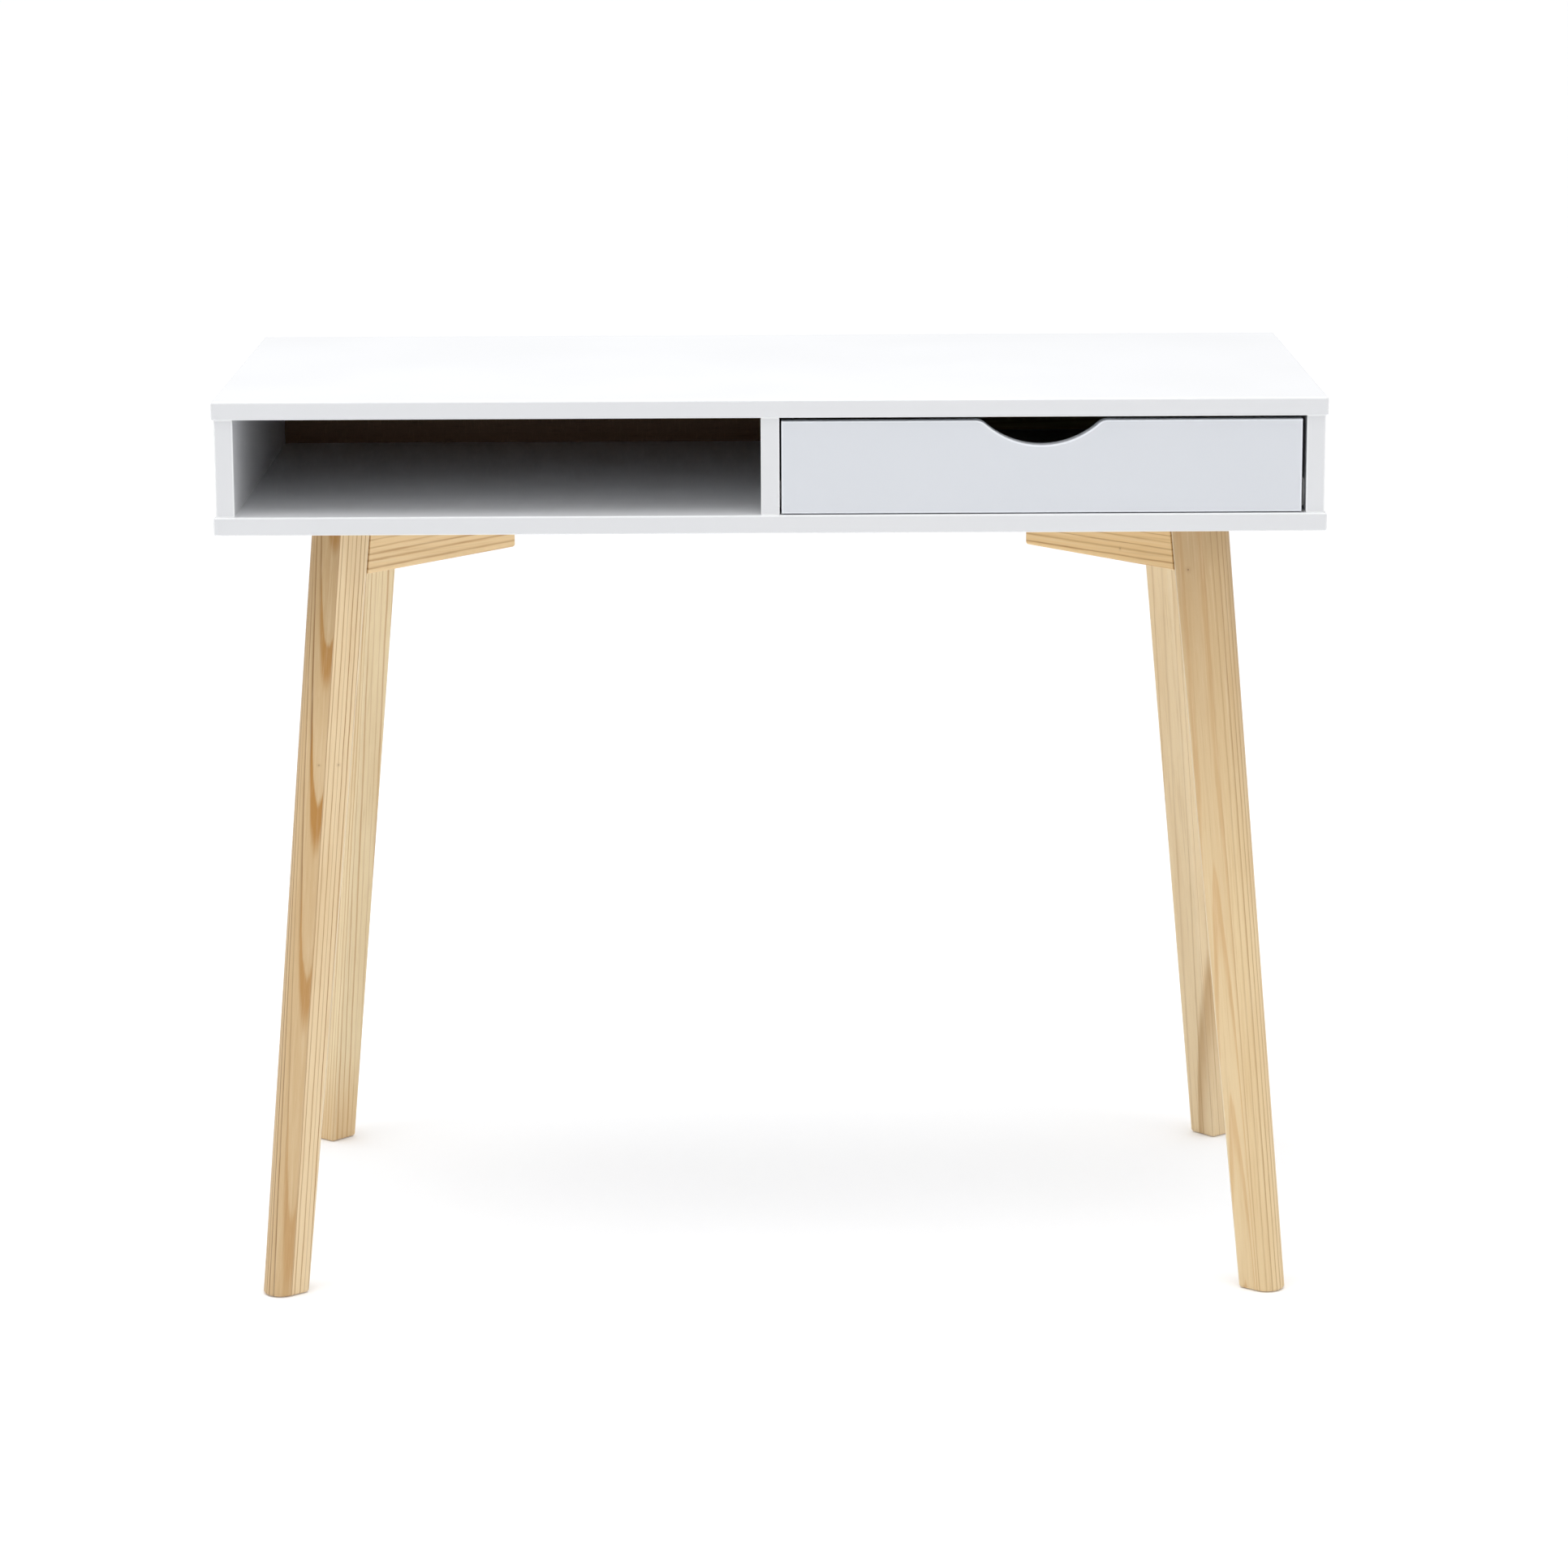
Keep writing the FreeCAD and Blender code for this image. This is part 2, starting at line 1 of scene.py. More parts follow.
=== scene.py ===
import math
from dataclasses import dataclass

import bmesh
import bpy
from mathutils import Matrix, Vector


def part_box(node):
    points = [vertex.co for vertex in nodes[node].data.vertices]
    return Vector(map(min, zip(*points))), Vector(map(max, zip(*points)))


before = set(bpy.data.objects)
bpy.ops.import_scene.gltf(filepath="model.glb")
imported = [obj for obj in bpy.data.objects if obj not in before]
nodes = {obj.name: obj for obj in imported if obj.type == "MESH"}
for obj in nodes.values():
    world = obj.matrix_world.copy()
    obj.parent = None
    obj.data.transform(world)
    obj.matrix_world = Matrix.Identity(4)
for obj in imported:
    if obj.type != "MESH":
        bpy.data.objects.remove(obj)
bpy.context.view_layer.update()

X_AXIS = (1, 0, 0)
Y_AXIS = (0, 1, 0)
Z_AXIS = (0, 0, 1)
DOWN = (0, 0, -1)
MILLIMETRES = 1000.0


# Shader sums: a socket that adds its nodes as it is used in an expression

class Wire:
    def __init__(self, tree, socket):
        self.tree = tree
        self.socket = socket

    def node(self, kind, settings=None, **inputs):
        """Adds a node of this kind, with its settings and its sockets, by name or as i0, i1 and so on."""
        made = self.tree.nodes.new("ShaderNode" + kind)
        for key, value in (settings or {}).items():
            setattr(made, key, value)
        for key, value in inputs.items():
            numbered = key[0] == "i" and key[1:].isdigit()
            put(made.inputs[int(key[1:]) if numbered else key.replace("_", " ")], value)
        return made

    def out(self, made, name=0):
        return Wire(self.tree, made.outputs[name])

    def math(self, operation, *values, clamp=False):
        inputs = {"i%d" % number: value for number, value in enumerate(values)}
        return self.out(self.node("Math", {"operation": operation, "use_clamp": clamp}, **inputs))

    def __add__(self, other):
        return self.math("ADD", self, other)

    __radd__ = __add__

    def __sub__(self, other):
        return self.math("SUBTRACT", self, other)

    def __rsub__(self, other):
        return self.math("SUBTRACT", other, self)

    def __mul__(self, other):
        return self.math("MULTIPLY", self, other)

    __rmul__ = __mul__

    def __truediv__(self, other):
        return self.math("DIVIDE", self, other)

    def __pow__(self, other):
        return self.math("POWER", self, other)

    def root(self):
        return self.math("SQRT", self)

    def floor(self):
        return self.math("FLOOR", self)

    def absolute(self):
        return self.math("ABSOLUTE", self)

    def least(self, other):
        return self.math("MINIMUM", self, other)

    def most(self, other):
        return self.math("MAXIMUM", self, other)

    def clamp(self):
        return self.math("ADD", self, 0.0, clamp=True)

    def step(self, low, high, smooth=True):
        kind = "SMOOTHSTEP" if smooth else "LINEAR"
        return self.out(self.node("MapRange", {"interpolation_type": kind}, Value=self,
                                  From_Min=low, From_Max=high, To_Min=0.0, To_Max=1.0))

    def dot(self, axis):
        made = self.node("VectorMath", {"operation": "DOT_PRODUCT"}, i0=self, i1=tuple(axis))
        return self.out(made, "Value")

    def axes(self):
        return [self.dot(axis) for axis in (X_AXIS, Y_AXIS, Z_AXIS)]

    def vector(self, x, y, z):
        return self.out(self.node("CombineXYZ", X=x, Y=y, Z=z))

    def noise(self, scale=1.0, detail=2.0, rough=0.5):
        made = self.node("TexNoise", {"noise_dimensions": "3D"}, Vector=self, Scale=scale,
                         Detail=detail, Roughness=rough)
        return self.out(made, "Fac")

    def random(self):
        return self.out(self.node("TexWhiteNoise", {"noise_dimensions": "1D"}, W=self), "Value")

    def mix(self, factor, first, second):
        return self.out(self.node("Mix", {"data_type": "RGBA"}, i0=factor, i6=first, i7=second), 2)

    def bump(self, height, strength, distance):
        made = self.node("Bump", Height=height, Strength=strength, Distance=distance)
        return self.out(made, "Normal")


def put(target, value):
    if isinstance(value, Wire):
        value.tree.links.new(value.socket, target)
    elif target.type == "RGBA":
        target.default_value = (*value, 1.0)
    else:
        target.default_value = value


def new_material(name):
    material = bpy.data.materials.new(name)
    material.use_nodes = True
    tree = material.node_tree
    tree.nodes.clear()
    shader = tree.nodes.new("ShaderNodeBsdfPrincipled")
    output = tree.nodes.new("ShaderNodeOutputMaterial")
    tree.links.new(shader.outputs["BSDF"], output.inputs["Surface"])
    place = Wire(tree, tree.nodes.new("ShaderNodeTexCoord").outputs["Object"])
    return material, shader, place


def feed(shader, **values):
    for key, value in values.items():
        put(shader.inputs[key.replace("_", " ")], value)


def dress(material, *names):
    for name in names:
        slots = nodes[name].data.materials
        slots.clear()
        slots.append(material)


def rgb(red, green, blue):
    def linear(value):
        value = value / 255
        return value / 12.92 if value <= 0.04045 else ((value + 0.055) / 1.055) ** 2.4
    return linear(red), linear(green), linear(blue)


# White satin lacquer on board, with a painted highlight along the arrises

PANEL_WHITE = rgb(225, 226, 228)
PANEL_RIM = 0.0013
# The drawer front's white is a little darker and cooler than the panels' white, as painted shade
DRAWER_SHADED_WHITE = rgb(217, 220, 225)
DRAWER_RIM = 0.0018
CLOUD_SHADE = 0.985
# Painted highlight along the arrises: how it fades out, its gain over the white, its whitest value and its
# share
RIM_FADE = 0.001
RIM_HIGHLIGHT_GAIN = 1.24
RIM_HIGHLIGHT_WHITEST = 0.94
RIM_HIGHLIGHT_SHARE = 0.85
CUT_DEPTH = 0.0204
CUT_BOW = 0.0685
CUT_EASE = 0.012
HAIR = 0.0001


def rim(depth, reach):
    return 1 - depth.step(reach - RIM_FADE, reach)


def box_rims(place, reach, low, high):
    rims = []
    for value, least, most in zip(place.axes(), low, high):
        off = value - (least + most) / 2
        rims.append(rim((most - least) / 2 - off.absolute(), reach))
    return rims


def past(value, edge):
    return value.step(edge - HAIR, edge + HAIR, smooth=False)


def cut_out_rim(place, reach, low, high):
    """The rim of the finger cut-out, a bow between two eases that run into the drawer front's top."""
    bow_middle = high[2] - CUT_DEPTH + CUT_BOW
    ease_middle = high[2] - CUT_EASE
    ease_off = math.sqrt((CUT_BOW + CUT_EASE) ** 2 - (bow_middle - ease_middle) ** 2)
    touch = ease_off * CUT_BOW / (CUT_BOW + CUT_EASE)
    off = (place.dot(X_AXIS) - (low[0] + high[0]) / 2).absolute()
    height = place.dot(Z_AXIS)
    over_bow = height - bow_middle
    over_ease = height - ease_middle
    beside_ease = off - ease_off
    bow_gap = (off * off + over_bow * over_bow).root() - CUT_BOW
    ease_gap = CUT_EASE - (beside_ease * beside_ease + over_ease * over_ease).root()
    on_ease = past(off, touch)
    gap = bow_gap + (ease_gap - bow_gap) * on_ease
    within = (1 - past(off, ease_off)) * (1 - on_ease * (1 - past(over_ease, 0.0)))
    return rim(gap.absolute(), reach) * within


def white_lacquer(piece, tint, reach):
    material, shader, place = new_material("white_lacquer_" + piece)
    cloud = place.noise(scale=7.0, detail=3.0)
    peel = place.noise(scale=900.0)
    soft = place.noise(scale=160.0)
    low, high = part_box(piece)
    x, y, z = box_rims(place, reach, low, high)
    # Painted highlight: the white turns lighter along the arrises, and on the drawer front along the
    # cut-out's rim too
    arris_highlight = (x * y).most(y * z).most(x * z)
    if piece == "drawer_front":
        arris_highlight = arris_highlight.most(y * cut_out_rim(place, reach, low, high))
    shaded = tuple(value * CLOUD_SHADE for value in tint)
    highlight_white = tuple(min(value * RIM_HIGHLIGHT_GAIN, RIM_HIGHLIGHT_WHITEST) for value in tint)
    white = place.mix(cloud.step(0.3, 0.7), shaded, tint)
    white = place.mix(arris_highlight * RIM_HIGHLIGHT_SHARE, white, highlight_white)
    feed(shader, Base_Color=white, Roughness=0.30 + cloud * 0.08 + soft * 0.05,
         Normal=place.bump(peel + soft * 0.6, strength=0.10, distance=0.00006))
    return material


for piece in ("top_panel", "bottom_panel", "left_side_panel", "divider_panel", "right_side_panel"):
    dress(white_lacquer(piece, PANEL_WHITE, PANEL_RIM), piece)
dress(white_lacquer("drawer_front", DRAWER_SHADED_WHITE, DRAWER_RIM), "drawer_front")


# Pine: every strip of wood carries its own growth rings, counted from how they lie in the stick

WOOD_SHADE = 0.868


def wood_rgb(red, green, blue):
    return tuple(value * WOOD_SHADE for value in rgb(red, green, blue))


FRESH_RING = wood_rgb(253, 232, 194)
GLUE_LINE = wood_rgb(164, 122, 76)
WARM_CLOUD = wood_rgb(210, 166, 104)
DARK_STREAK = wood_rgb(190, 144, 86)
PALE_STREAK = wood_rgb(250, 228, 190)
DARK_FIBRE = wood_rgb(178, 134, 84)
PALE_FIBRE = wood_rgb(252, 232, 198)
BROWN_FLAME = wood_rgb(176, 126, 50)
SPECK_HALO = wood_rgb(160, 112, 66)
SPECK_HEART = wood_rgb(116, 76, 42)
# Tone of the painted highlight on the legs' inner edges
EDGE_HIGHLIGHT_TONE = wood_rgb(255, 241, 212)

# Millimetres on the stick
GLUE_HALF = 0.12
GLUE_FADE = (0.15, 0.75)
FLAME_WANDER = 30.0
FLAME_TIP = 40.0
EDGE_HIGHLIGHT_REACH = (1.8, 3.4)

# Shares of a ring: where its dark wood starts to differ, peaks and ends, and the fresh band after it
ONSET_SPREAD = 0.22
CREST = 0.55
FLAME_CREST = 0.90
FLAME_RAMP = 0.22
FLAME_END = 0.93
FRESH_PEAK = 0.12
FRESH_END = 0.45

LATE_CURVE = 1.4
FIRST_RING = 40.0
WANDER_GAIN = 4.0


class Board:
    """A stick's own directions: along the grain, through from its outer face, and across."""

    def __init__(self, spot, along, through):
        self.spot = Vector(spot)
        self.along = Vector(along).normalized()
        self.through = Vector(through).normalized()
        self.across = self.along.cross(self.through)

    def read(self, place):
        axes = (self.along, self.through, self.across)
        return [(place.dot(axis) - self.spot.dot(axis)) * MILLIMETRES for axis in axes]


def grain(stick, seed, run, spread, detail=2.0, rough=0.5):
    along, through, across = stick
    spot = along.vector(along * run + seed, through * spread, across * spread)
    return spot.noise(detail=detail, rough=rough)


@dataclass
class Stave:
    """One strip of a stick. Lengths are in millimetres and the slant in degrees."""

    seed: float
    # Where it starts through the stick, how its rings are turned, and their middle line
    start: float = 0.0
    slant: float = 0.0
    middle: float = 0.0
    # Rings per millimetre straight on, and their curve across
    straight: float = 0.0
    bow: float = 0.0
    # Rings gained along the stick from a mark, by length and by its square, and the height where that ends
    mark: float = 0.0
    rise: tuple = (0.0, 0.0)
    top: float = 900.0
    # Distances from the middle line between which that gain dies out
    hold: tuple = None
    # How the rings fan out from the middle line: lift, width, and shares of the square and fourth power
    fan: tuple = (0.0, 1.0, 0.0, 0.0)
    # Slow, quick and fine wander of the rings, and how uneven their widths are
    drift: float = 0.15
    ripple: float = 0.05
    fray: float = 0.10
    uneven: float = 0.7
    # The pale share of a ring, the strength of its dark part, and both tones
    early: float = 0.55
    depth: float = 0.8
    pale: tuple = (238, 212, 170)
    amber: tuple = (190, 148, 98)
    # Distances from the middle line where flat-lying rings fade out, and their dark part's tone and strength
    flat: tuple = None
    flame: tuple = None
    soft: float = None
    # Where the tone darkens along the stick: start, end and strength, and the darker tone; on the front legs
    # this is painted shade under the carcass, on the front left leg together with its own darker wood
    shade_and_tone_fade: tuple = None
    shade_and_tone: tuple = None

    def count(self, stick, reach, square):
        along, through, across = stick
        slant = math.radians(self.slant)
        side = across * math.cos(slant) - through * math.sin(slant)
        up = (along - self.mark).least(self.top)
        climb = up * self.rise[0] + up * up * self.rise[1]
        if self.hold:
            climb = climb * (1 - square.root().step(*self.hold))
        lift, width, second, fourth = self.fan
        fanned = ((square + width * width).root() - width) * lift
        fanned = fanned + square * second + square * square * fourth
        slow = grain(stick, self.seed, run=0.006, spread=0.02) - 0.5
        quick = grain(stick, self.seed, run=0.03, spread=0.09) - 0.5
        frayed = grain(stick, self.seed, run=0.022, spread=0.9, detail=3.0) - 0.5
        rings = ((reach + side * side * self.bow) * self.straight + climb + fanned
                 + slow * (self.drift * WANDER_GAIN) + quick * (self.ripple * WANDER_GAIN)
                 + frayed * self.fray + FIRST_RING)
        widths = rings.vector(rings * 0.62 + self.seed, self.seed, 0.0).noise(detail=1.0) - 0.5
        return rings + widths * self.uneven

    def wood(self, stick):
        along, through, across = stick
        slant = math.radians(self.slant)
        reach = through * math.cos(slant) + across * math.sin(slant) - self.middle
        square = reach * reach
        rings = self.count(stick, reach, square)
        number = rings.floor()
        part = rings - number
        chance = (number + self.seed).random()
        onset = self.early + ((number + self.seed + 7.7).random() - 0.5) * ONSET_SPREAD
        crest = onset + (1 - onset) * (FLAME_CREST if self.flat else CREST)
        late = ((part - onset) / (crest - onset)).clamp() ** LATE_CURVE * (1 - part.step(crest, 1.0))
        ring_tone = wood_rgb(*self.amber)
        depth = self.depth
        if self.flat:
            near = 1 - square.root().step(*self.flat)
            broad = part.step(self.early, self.early + FLAME_RAMP) * (1 - part.step(FLAME_END, 1.0))
            late = late + (broad - late) * near
            ring_tone = along.mix(near, ring_tone, wood_rgb(*self.flame))
            depth = near * (self.soft - self.depth) + self.depth
        patchy = grain(stick, self.seed + 3.0, run=0.012, spread=0.15)
        late = late * (0.40 + chance * 0.60) * (0.62 + patchy * 0.76)
        fresh = part.step(0.0, FRESH_PEAK) * (1 - part.step(FRESH_PEAK, FRESH_END)) * chance
        tone = along.mix((late * depth).clamp(), wood_rgb(*self.pale), ring_tone)
        tone = along.mix(fresh * 0.16, tone, FRESH_RING)
        # Painted shade: on the front legs the tone darkens towards the top, under the carcass
        if self.shade_and_tone_fade:
            start, end, strength = self.shade_and_tone_fade
            shade = along.step(min(start, end), max(start, end))
            shade = shade if end > start else 1 - shade
            tone = along.mix(shade * strength, tone, wood_rgb(*self.shade_and_tone))
        return late, tone


def glued(stick, staves):
    through = stick[1]
    late, wood = staves[0].wood(stick)
    for stave in staves[1:]:
        next_late, next_wood = stave.wood(stick)
        beyond = through.step(stave.start - GLUE_HALF, stave.start + GLUE_HALF, smooth=False)
        late = late + (next_late - late) * beyond
        wood = wood.mix(beyond, wood, next_wood)
        off = (through - stave.start).absolute()
        wood = wood.mix((1 - off.step(*GLUE_FADE)) * 0.35, wood, GLUE_LINE)
    return late, wood


def flamed(wood, stick, streak, flame):
    along, through, across = stick
    tip, middle_through, middle_across, spread, fade, strength = flame
    inward = through - middle_through
    aside = across - middle_across
    inside = tip - along - (inward * inward + aside * aside) * spread + (streak - 0.5) * FLAME_WANDER
    burn = inside.step(0.0, FLAME_TIP) * (1 - inside.step(0.0, fade))
    return wood.mix(burn * strength, wood, BROWN_FLAME)


def specked(wood, stick, speck):
    *middle, size = speck
    along, through, across = [value - centre for value, centre in zip(stick, middle)]
    gap = (along * along + (through * through + across * across) * 0.6).root()
    wood = wood.mix((1 - gap.step(size, size * 4.0)) * 0.16, wood, SPECK_HALO)
    return wood.mix((1 - gap.step(size * 0.4, size)) * 0.60, wood, SPECK_HEART)


# Painted highlight: the leg's inner edge is lightened, most on the front legs
def painted_edge_highlight(wood, stick, half_thickness, foot_width, taper, highlight_strength):
    along, through, across = stick
    inward = along * taper + foot_width - through
    aside = half_thickness - across.absolute()
    edge_highlight_mask = (1 - inward.step(*EDGE_HIGHLIGHT_REACH)) * (1 - aside.step(*EDGE_HIGHLIGHT_REACH))
    return wood.mix(edge_highlight_mask * highlight_strength, wood, EDGE_HIGHLIGHT_TONE)


def pine(name, board, staves, flames=(), specks=(), inner_edge=None):
    material, shader, place = new_material(name)
    stick = board.read(place)
    seed = staves[0].seed
    late, wood = glued(stick, staves)
    fibre = grain(stick, seed, run=0.04, spread=1.7, detail=3.0, rough=0.6)
    streak = grain(stick, seed + 5.0, run=0.010, spread=0.48, detail=3.0, rough=0.6)
    cloud = grain(stick, seed + 11.0, run=0.007, spread=0.05)
    wood = place.mix(cloud.step(0.40, 0.75) * 0.22, wood, WARM_CLOUD)
    wood = place.mix(streak.step(0.52, 0.75) * 0.26, wood, DARK_STREAK)
    wood = place.mix((1 - streak.step(0.28, 0.47)) * 0.22, wood, PALE_STREAK)
    wood = place.mix(fibre.step(0.53, 0.78) * 0.20, wood, DARK_FIBRE)
    wood = place.mix((1 - fibre.step(0.24, 0.46)) * 0.20, wood, PALE_FIBRE)
    for flame in flames:
        wood = flamed(wood, stick, streak, flame)
    for speck in specks:
        wood = specked(wood, stick, speck)
    # Painted highlight along the leg's inner edge
    if inner_edge:
        wood = painted_edge_highlight(wood, stick, *inner_edge)
    feed(shader, Base_Color=wood, Roughness=0.50 - late * 0.08 + fibre * 0.08,
         Normal=place.bump(late * 0.1 + fibre * 0.6, strength=0.18, distance=0.00010),
         Coat_Weight=0.10, Coat_Roughness=0.35)
    return material


# Legs and arms: each pair lies in an upright plane through a corner of the desk

CORNERS = {"front_left": (-1, -1), "front_right": (1, -1), "back_left": (-1, 1), "back_right": (1, 1)}
LEG_ANGLE = math.radians(41.0)
# The middle of a leg's top, its height, and from there out to the outer edge of the foot
LEG_MIDDLE = (0.3522, 0.1902)
LEG_TOP = 0.633
LEG_FOOT_REACH = 0.0903
LEG_HALF_WIDTH = 0.0225
LEG_FOOT_WIDTH = 0.033
LEG_HALF_THICKNESS = 0.015
LEG_LEAN = LEG_FOOT_REACH - LEG_HALF_WIDTH
# Strength of the painted highlight on the inner edge, for front and back legs
FRONT_EDGE_HIGHLIGHT = 0.45
BACK_EDGE_HIGHLIGHT = 0.12


def inward_of(corner):
    side, end = CORNERS[corner]
    return Vector((-side * math.cos(LEG_ANGLE), -end * math.sin(LEG_ANGLE), 0.0))


def middle_of(corner):
    side, end = CORNERS[corner]
    return Vector((side * LEG_MIDDLE[0], end * LEG_MIDDLE[1], 0.0))


def leg_board(corner):
    inward = inward_of(corner)
    along = inward * LEG_LEAN + Vector((0, 0, LEG_TOP))
    through = inward * LEG_TOP - Vector((0, 0, LEG_LEAN))
    return Board(middle_of(corner) - inward * LEG_FOOT_REACH, along, through)


def leg_inner_edge(corner):
    """The leg's half thickness, its width at the foot, how that grows upwards, and the strength of the
    painted highlight on the edge.
    """
    lean = math.atan2(LEG_LEAN, LEG_TOP)
    growth = 2 * LEG_HALF_WIDTH - LEG_FOOT_WIDTH
    taper = growth * math.cos(lean) / (LEG_TOP / math.cos(lean) + growth * math.sin(lean))
    foot_width = LEG_FOOT_WIDTH * (math.cos(lean) - math.sin(lean) * taper)
    highlight_strength = FRONT_EDGE_HIGHLIGHT if CORNERS[corner][1] < 0 else BACK_EDGE_HIGHLIGHT
    return LEG_HALF_THICKNESS * MILLIMETRES, foot_width * MILLIMETRES, taper, highlight_strength


def arm_board(corner):
    inward = inward_of(corner)
    spot = middle_of(corner) + inward * LEG_HALF_WIDTH + Vector((0, 0, LEG_TOP))
    return Board(spot, inward, DOWN)


# On the front legs the tone darkens towards the top as painted shade under the carcass, on the front left
# leg together with its own darker wood; the back left leg turns darker and more orange towards the foot
leg_staves = {
    "front_left": [
        Stave(3.1, slant=-41, middle=16.2, mark=548, rise=(0.00879, 5.12e-6),
              fan=(0.0, 1.0, -0.0054, -1.56e-5), drift=0.05, ripple=0.02, fray=0.07, uneven=0.0,
              early=0.60, depth=1.35, pale=(225, 193, 145), amber=(146, 104, 56), flat=(7.0, 10.0),
              flame=(192, 136, 58), soft=1.2, shade_and_tone_fade=(450, 600, 0.42), shade_and_tone=(150, 112, 56)),
        Stave(8.4, start=13.2, slant=-12, straight=1 / 4.2, drift=0.06, ripple=0.03, uneven=1.0,
              early=0.64, depth=1.1, pale=(249, 222, 177), amber=(172, 124, 68))],
    "front_right": [
        Stave(14.2, slant=41, middle=28.7, mark=368, rise=(0.00438, -3.7e-6), top=60.0, hold=(6, 12),
              fan=(0.125, 3.0, 0.0, 2.5e-6), drift=0.05, ripple=0.02, uneven=0.2,
              early=0.58, depth=1.05, pale=(246, 218, 169), amber=(172, 126, 70), flat=(8.0, 12.0),
              flame=(220, 168, 102), soft=0.6, shade_and_tone_fade=(250, 720, 0.56), shade_and_tone=(158, 114, 58))],
    "back_left": [
        Stave(21.9, slant=41, straight=1 / 3.2, bow=0.004, drift=0.12, ripple=0.04, uneven=1.0,
              early=0.60, depth=0.95, pale=(255, 232, 186), amber=(208, 162, 106),
              shade_and_tone_fade=(100, 20, 0.40), shade_and_tone=(222, 172, 104))],
    "back_right": [
        Stave(27.3, slant=-41, straight=1 / 6.5, bow=0.004, drift=0.06, ripple=0.02,
              early=0.74, depth=0.7, pale=(251, 225, 180), amber=(190, 148, 90))],
}
arm_staves = {
    "front_left": [
        Stave(41.0, straight=1 / 5.6, rise=(0.009, 0.0), drift=0.16, ripple=0.04, fray=0.30, uneven=1.0,
              early=0.60, depth=0.8, pale=(252, 219, 166), amber=(184, 130, 68))],
    "front_right": [
        Stave(47.5, straight=1 / 5.4, rise=(0.006, 0.0), drift=0.16, ripple=0.03, fray=0.30, uneven=1.0,
              early=0.60, depth=0.8, pale=(243, 206, 147), amber=(172, 119, 54))],
    "back_left": [Stave(53.2, straight=1 / 5.6, rise=(0.006, 0.0), drift=0.3, early=0.45, depth=0.75)],
    "back_right": [Stave(59.9, straight=1 / 6.4, rise=(-0.006, 0.0), drift=0.3, early=0.45, depth=0.75)],
}
# A flame's tip along, through and across the stick, then its spread, fade and strength
leg_flames = {"back_right": [(192.0, 25.0, 15.0, 0.42, 170.0, 0.66)]}
# A speck's place along, through and across the stick, and its size
leg_specks = {
    "front_left": [(446.7, 26.6, -15.0, 0.7), (446.7, 7.9, -13.6, 0.6)],
    "front_right": [(604.2, 28.8, 15.0, 1.0)],
}
arm_specks = {"front_right": [(49.7, 24.9, 15.0, 0.6)]}

for corner in CORNERS:
    leg_pine = pine("pine_leg_" + corner, leg_board(corner), leg_staves[corner],
                    leg_flames.get(corner, ()), leg_specks.get(corner, ()), leg_inner_edge(corner))
    dress(leg_pine, "leg_" + corner)
    arm_pine = pine("pine_arm_" + corner, arm_board(corner), arm_staves[corner],
                    specks=arm_specks.get(corner, ()))
    dress(arm_pine, "arm_" + corner)


# Drawer boards: the end of its box, in x and y, that a board's grain starts from, and the way it runs

drawer_boards = {
    "drawer_left_side": ((0, 0), Y_AXIS),
    "drawer_right_side": ((1, 0), Y_AXIS),
    "drawer_back": ((0, 1), X_AXIS),
}
for number, (name, (ends, along)) in enumerate(drawer_boards.items()):
    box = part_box(name)
    spot = (box[ends[0]][0], box[ends[1]][1], box[1][2])
    stave = Stave(71.3 + number * 6.7, straight=1 / 5.0, rise=(0.004, 0.0), bow=0.02, drift=0.3,
                  early=0.35, depth=0.7, pale=(240, 216, 178), amber=(206, 166, 116))
    dress(pine("pine_" + name, Board(spot, along, DOWN), [stave]), name)


# Hardboard, brown all through or with a white face above

FELT_DARK = rgb(138, 104, 76)
FELT_LIGHT = rgb(152, 117, 87)
STRAND_BROWN = rgb(112, 80, 55)
CHIP_TAN = rgb(172, 137, 104)
CLOUD_BROWN = rgb(124, 91, 65)
FACE_SHADE = rgb(216, 216, 213)
FACE_WHITE = rgb(222, 222, 220)
FACE_STRAND = rgb(204, 203, 199)
FACE_DEPTH = 0.0004


def hardboard(name, face_level=None):
    material, shader, place = new_material(name)
    x, y, z = place.axes()
    felt = place.noise(scale=1300.0, detail=3.0, rough=0.6)
    cloud = place.noise(scale=9.0, detail=3.0)
    strands = place.vector(x * 80.0, y * 900.0, z * 900.0).noise()
    chips = place.vector(x * 900.0, y * 110.0, z * 110.0).noise()
    tone = place.mix(felt.step(0.3, 0.7), FELT_DARK, FELT_LIGHT)
    tone = place.mix(strands.step(0.54, 0.72) * 0.45, tone, STRAND_BROWN)
    tone = place.mix(chips.step(0.54, 0.72) * 0.40, tone, CHIP_TAN)
    tone = place.mix(cloud.step(0.40, 0.75) * 0.22, tone, CLOUD_BROWN)
    rough = 0.50 + felt * 0.2
    if face_level:
        above = past(z, face_level)
        face = place.mix(cloud.step(0.3, 0.7), FACE_SHADE, FACE_WHITE)
        face = place.mix(strands.step(0.50, 0.80) * 0.3, face, FACE_STRAND)
        tone = place.mix(above, tone, face)
        rough = rough - above * 0.14
    feed(shader, Base_Color=tone, Roughness=rough,
         Normal=place.bump(felt + strands * 0.6, strength=0.22, distance=0.00012))
    return material


dress(hardboard("brown_hardboard"), "back_panel")
drawer_bottom_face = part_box("drawer_bottom")[1][2] - FACE_DEPTH
dress(hardboard("white_faced_hardboard", drawer_bottom_face), "drawer_bottom")


# Dowels, screws and the drawer's roller slides

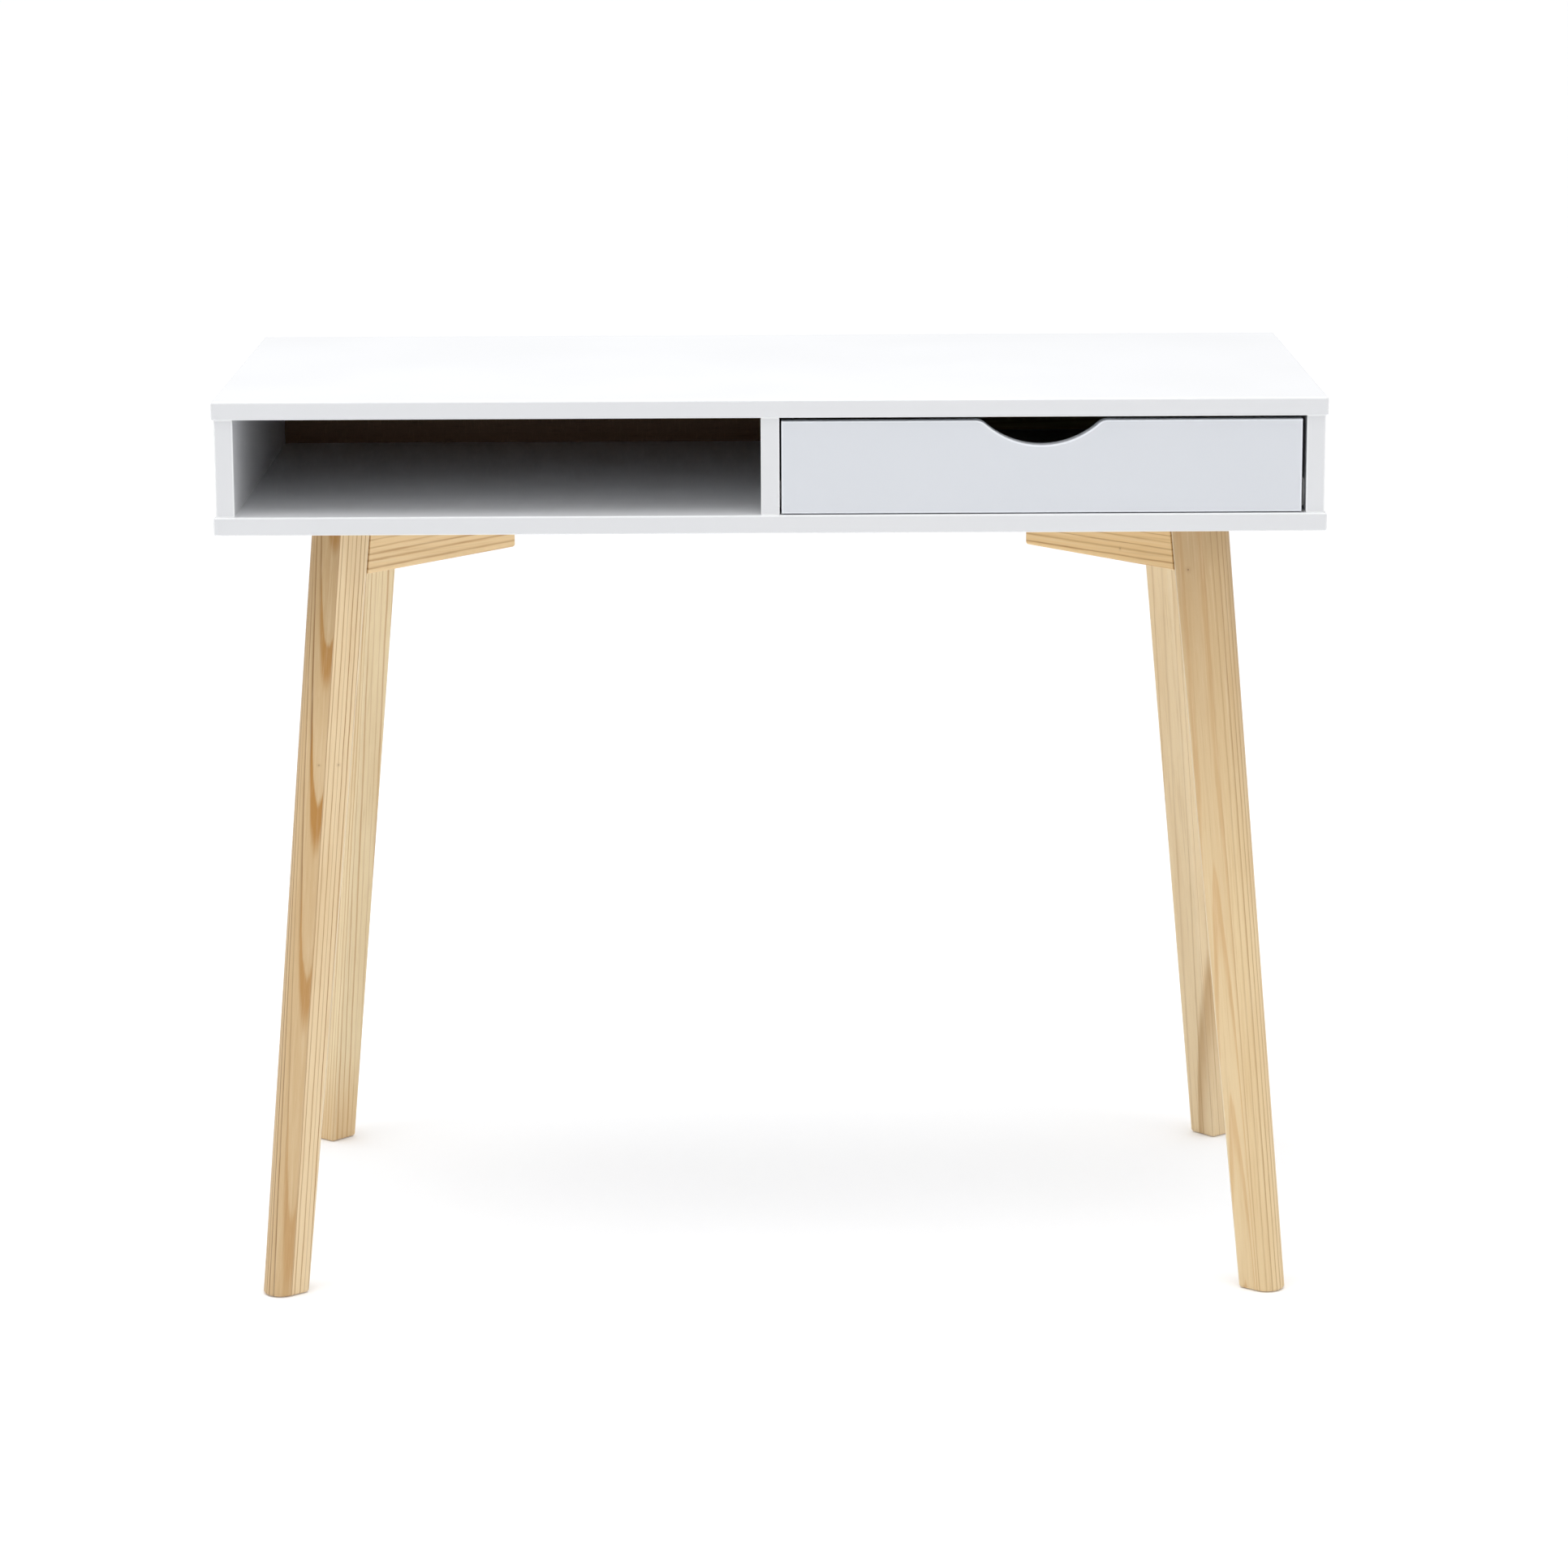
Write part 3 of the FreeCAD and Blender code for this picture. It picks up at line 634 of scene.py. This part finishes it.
BEECH_LIGHT = rgb(206, 168, 128)
BEECH_DARK = rgb(180, 136, 96)
ZINC_DARK = rgb(176, 176, 172)
ZINC_LIGHT = rgb(204, 203, 196)
COATING_SHADE = rgb(226, 225, 220)
COATING_WHITE = rgb(234, 233, 229)
PLASTIC_SHADE = rgb(222, 219, 207)
PLASTIC_WHITE = rgb(232, 230, 221)


def beech_dowel():
    material, shader, place = new_material("beech_dowel")
    fleck = place.noise(scale=900.0, detail=3.0)
    feed(shader, Base_Color=place.mix(fleck.step(0.35, 0.7), BEECH_LIGHT, BEECH_DARK), Roughness=0.6,
         Normal=place.bump(fleck, strength=0.2, distance=0.0001))
    return material


def zinc_steel():
    material, shader, place = new_material("zinc_steel")
    spangle = place.noise(scale=700.0, detail=3.0)
    feed(shader, Base_Color=place.mix(spangle, ZINC_DARK, ZINC_LIGHT), Metallic=1.0,
         Roughness=0.28 + spangle * 0.2, Normal=place.bump(spangle, strength=0.15, distance=0.00005))
    return material


def coated_steel():
    material, shader, place = new_material("coated_steel")
    grit = place.noise(scale=1600.0)
    cloud = place.noise(scale=40.0)
    feed(shader, Base_Color=place.mix(cloud, COATING_SHADE, COATING_WHITE),
         Roughness=0.42 + grit * 0.14, Normal=place.bump(grit, strength=0.2, distance=0.00006))
    return material


def roller_plastic():
    material, shader, place = new_material("roller_plastic")
    cloud = place.noise(scale=260.0, detail=3.0)
    feed(shader, Base_Color=place.mix(cloud, PLASTIC_SHADE, PLASTIC_WHITE),
         Roughness=0.36 + cloud * 0.16, Normal=place.bump(cloud, strength=0.1, distance=0.00005))
    return material


dress(beech_dowel(), "carcass_dowels", "leg_dowels", "arm_dowels", "drawer_dowels")
dress(zinc_steel(), "carcass_screws", "arm_screws", "drawer_screws", "cabinet_axles", "drawer_axles",
      "cabinet_rail_screws", "drawer_rail_screws")
dress(coated_steel(), "cabinet_rail_left", "cabinet_rail_right", "drawer_rail_left", "drawer_rail_right")
dress(roller_plastic(), "cabinet_roller_left", "cabinet_roller_right", "drawer_roller_left",
      "drawer_roller_right")


# Floor, light and camera

FLOOR_HALF = 60.0
FLOOR_DROP = 0.0005
FLOOR_WHITE = (0.94, 0.945, 0.955)
GLOW_NEAR = (0.67, 0.68, 0.70)
GLOW_FAR = (0.97, 0.98, 1.0)
GLOW_FADE = (1.0, 3.0)
GLOW_STRENGTH = 0.13


def studio_floor():
    mesh = bpy.data.meshes.new("studio_floor")
    shape = bmesh.new()
    bmesh.ops.create_grid(shape, x_segments=2, y_segments=2, size=FLOOR_HALF)
    bmesh.ops.translate(shape, verts=shape.verts, vec=(0, 0, -FLOOR_DROP))
    shape.to_mesh(mesh)
    shape.free()
    floor = bpy.data.objects.new("studio_floor", mesh)
    bpy.context.scene.collection.objects.link(floor)
    material, shader, place = new_material("floor_white")
    x = place.dot(X_AXIS)
    y = place.dot(Y_AXIS)
    away = (x * x + y * y).root().step(*GLOW_FADE)
    feed(shader, Base_Color=FLOOR_WHITE, Roughness=0.9, Specular_IOR_Level=0.0,
         Emission_Color=place.mix(away, GLOW_NEAR, GLOW_FAR), Emission_Strength=GLOW_STRENGTH)
    mesh.materials.append(material)


def studio_sky(horizon, zenith, behind):
    world = bpy.data.worlds.new("studio")
    bpy.context.scene.world = world
    world.use_nodes = True
    tree = world.node_tree
    way = Wire(tree, tree.nodes.new("ShaderNodeTexCoord").outputs["Generated"])
    height = way.dot(Z_AXIS)
    wall = way.dot(Y_AXIS).step(0.2, 0.9) * (1 - height.step(0.3, 0.8))
    glow = height.clamp() * (zenith - horizon) + wall * behind + horizon
    tree.links.new(glow.socket, tree.nodes["Background"].inputs["Color"])


def soft_box(name, spot, aim, width, height, power):
    lamp = bpy.data.lights.new(name, "AREA")
    lamp.shape = "RECTANGLE"
    lamp.size = width
    lamp.size_y = height
    lamp.energy = power
    box = bpy.data.objects.new(name, lamp)
    box.location = spot
    box.rotation_euler = (Vector(aim) - Vector(spot)).to_track_quat("-Z", "Y").to_euler()
    bpy.context.scene.collection.objects.link(box)


studio_floor()
studio_sky(horizon=0.11, zenith=1.31, behind=0.30)
soft_box("overhead", spot=(-0.2, -0.45, 2.7), aim=(0.0, 0.0, 0.5), width=2.4, height=1.8, power=27.6)
soft_box("left_side", spot=(-3.0, -1.6, 1.5), aim=(0.0, 0.0, 0.35), width=1.2, height=1.4, power=4.9)
soft_box("right_side", spot=(3.0, -1.6, 1.5), aim=(0.0, 0.0, 0.35), width=1.2, height=1.4, power=6.4)

PHOTO_PIXELS = 1932
LENS_PIXELS = 6190.0
SENSOR_WIDTH = 36.0
EYE_PLACE = (-0.0012, -4.2435, 1.263)
EYE_TURN = -0.0028
EYE_TILT = -0.2053
EYE_ROLL = -0.0044
EYE_REACH = 60.0

camera = bpy.data.cameras.new("camera")
camera.sensor_width = SENSOR_WIDTH
camera.lens = LENS_PIXELS / PHOTO_PIXELS * SENSOR_WIDTH
camera.clip_end = EYE_REACH
eye = bpy.data.objects.new("camera", camera)
eye.matrix_world = (Matrix.Translation(EYE_PLACE) @ Matrix.Rotation(EYE_TURN, 4, "Z")
                    @ Matrix.Rotation(math.pi / 2 + EYE_TILT, 4, "X") @ Matrix.Rotation(EYE_ROLL, 4, "Z"))
bpy.context.scene.collection.objects.link(eye)
bpy.context.scene.camera = eye
bpy.context.scene.view_settings.view_transform = "Standard"
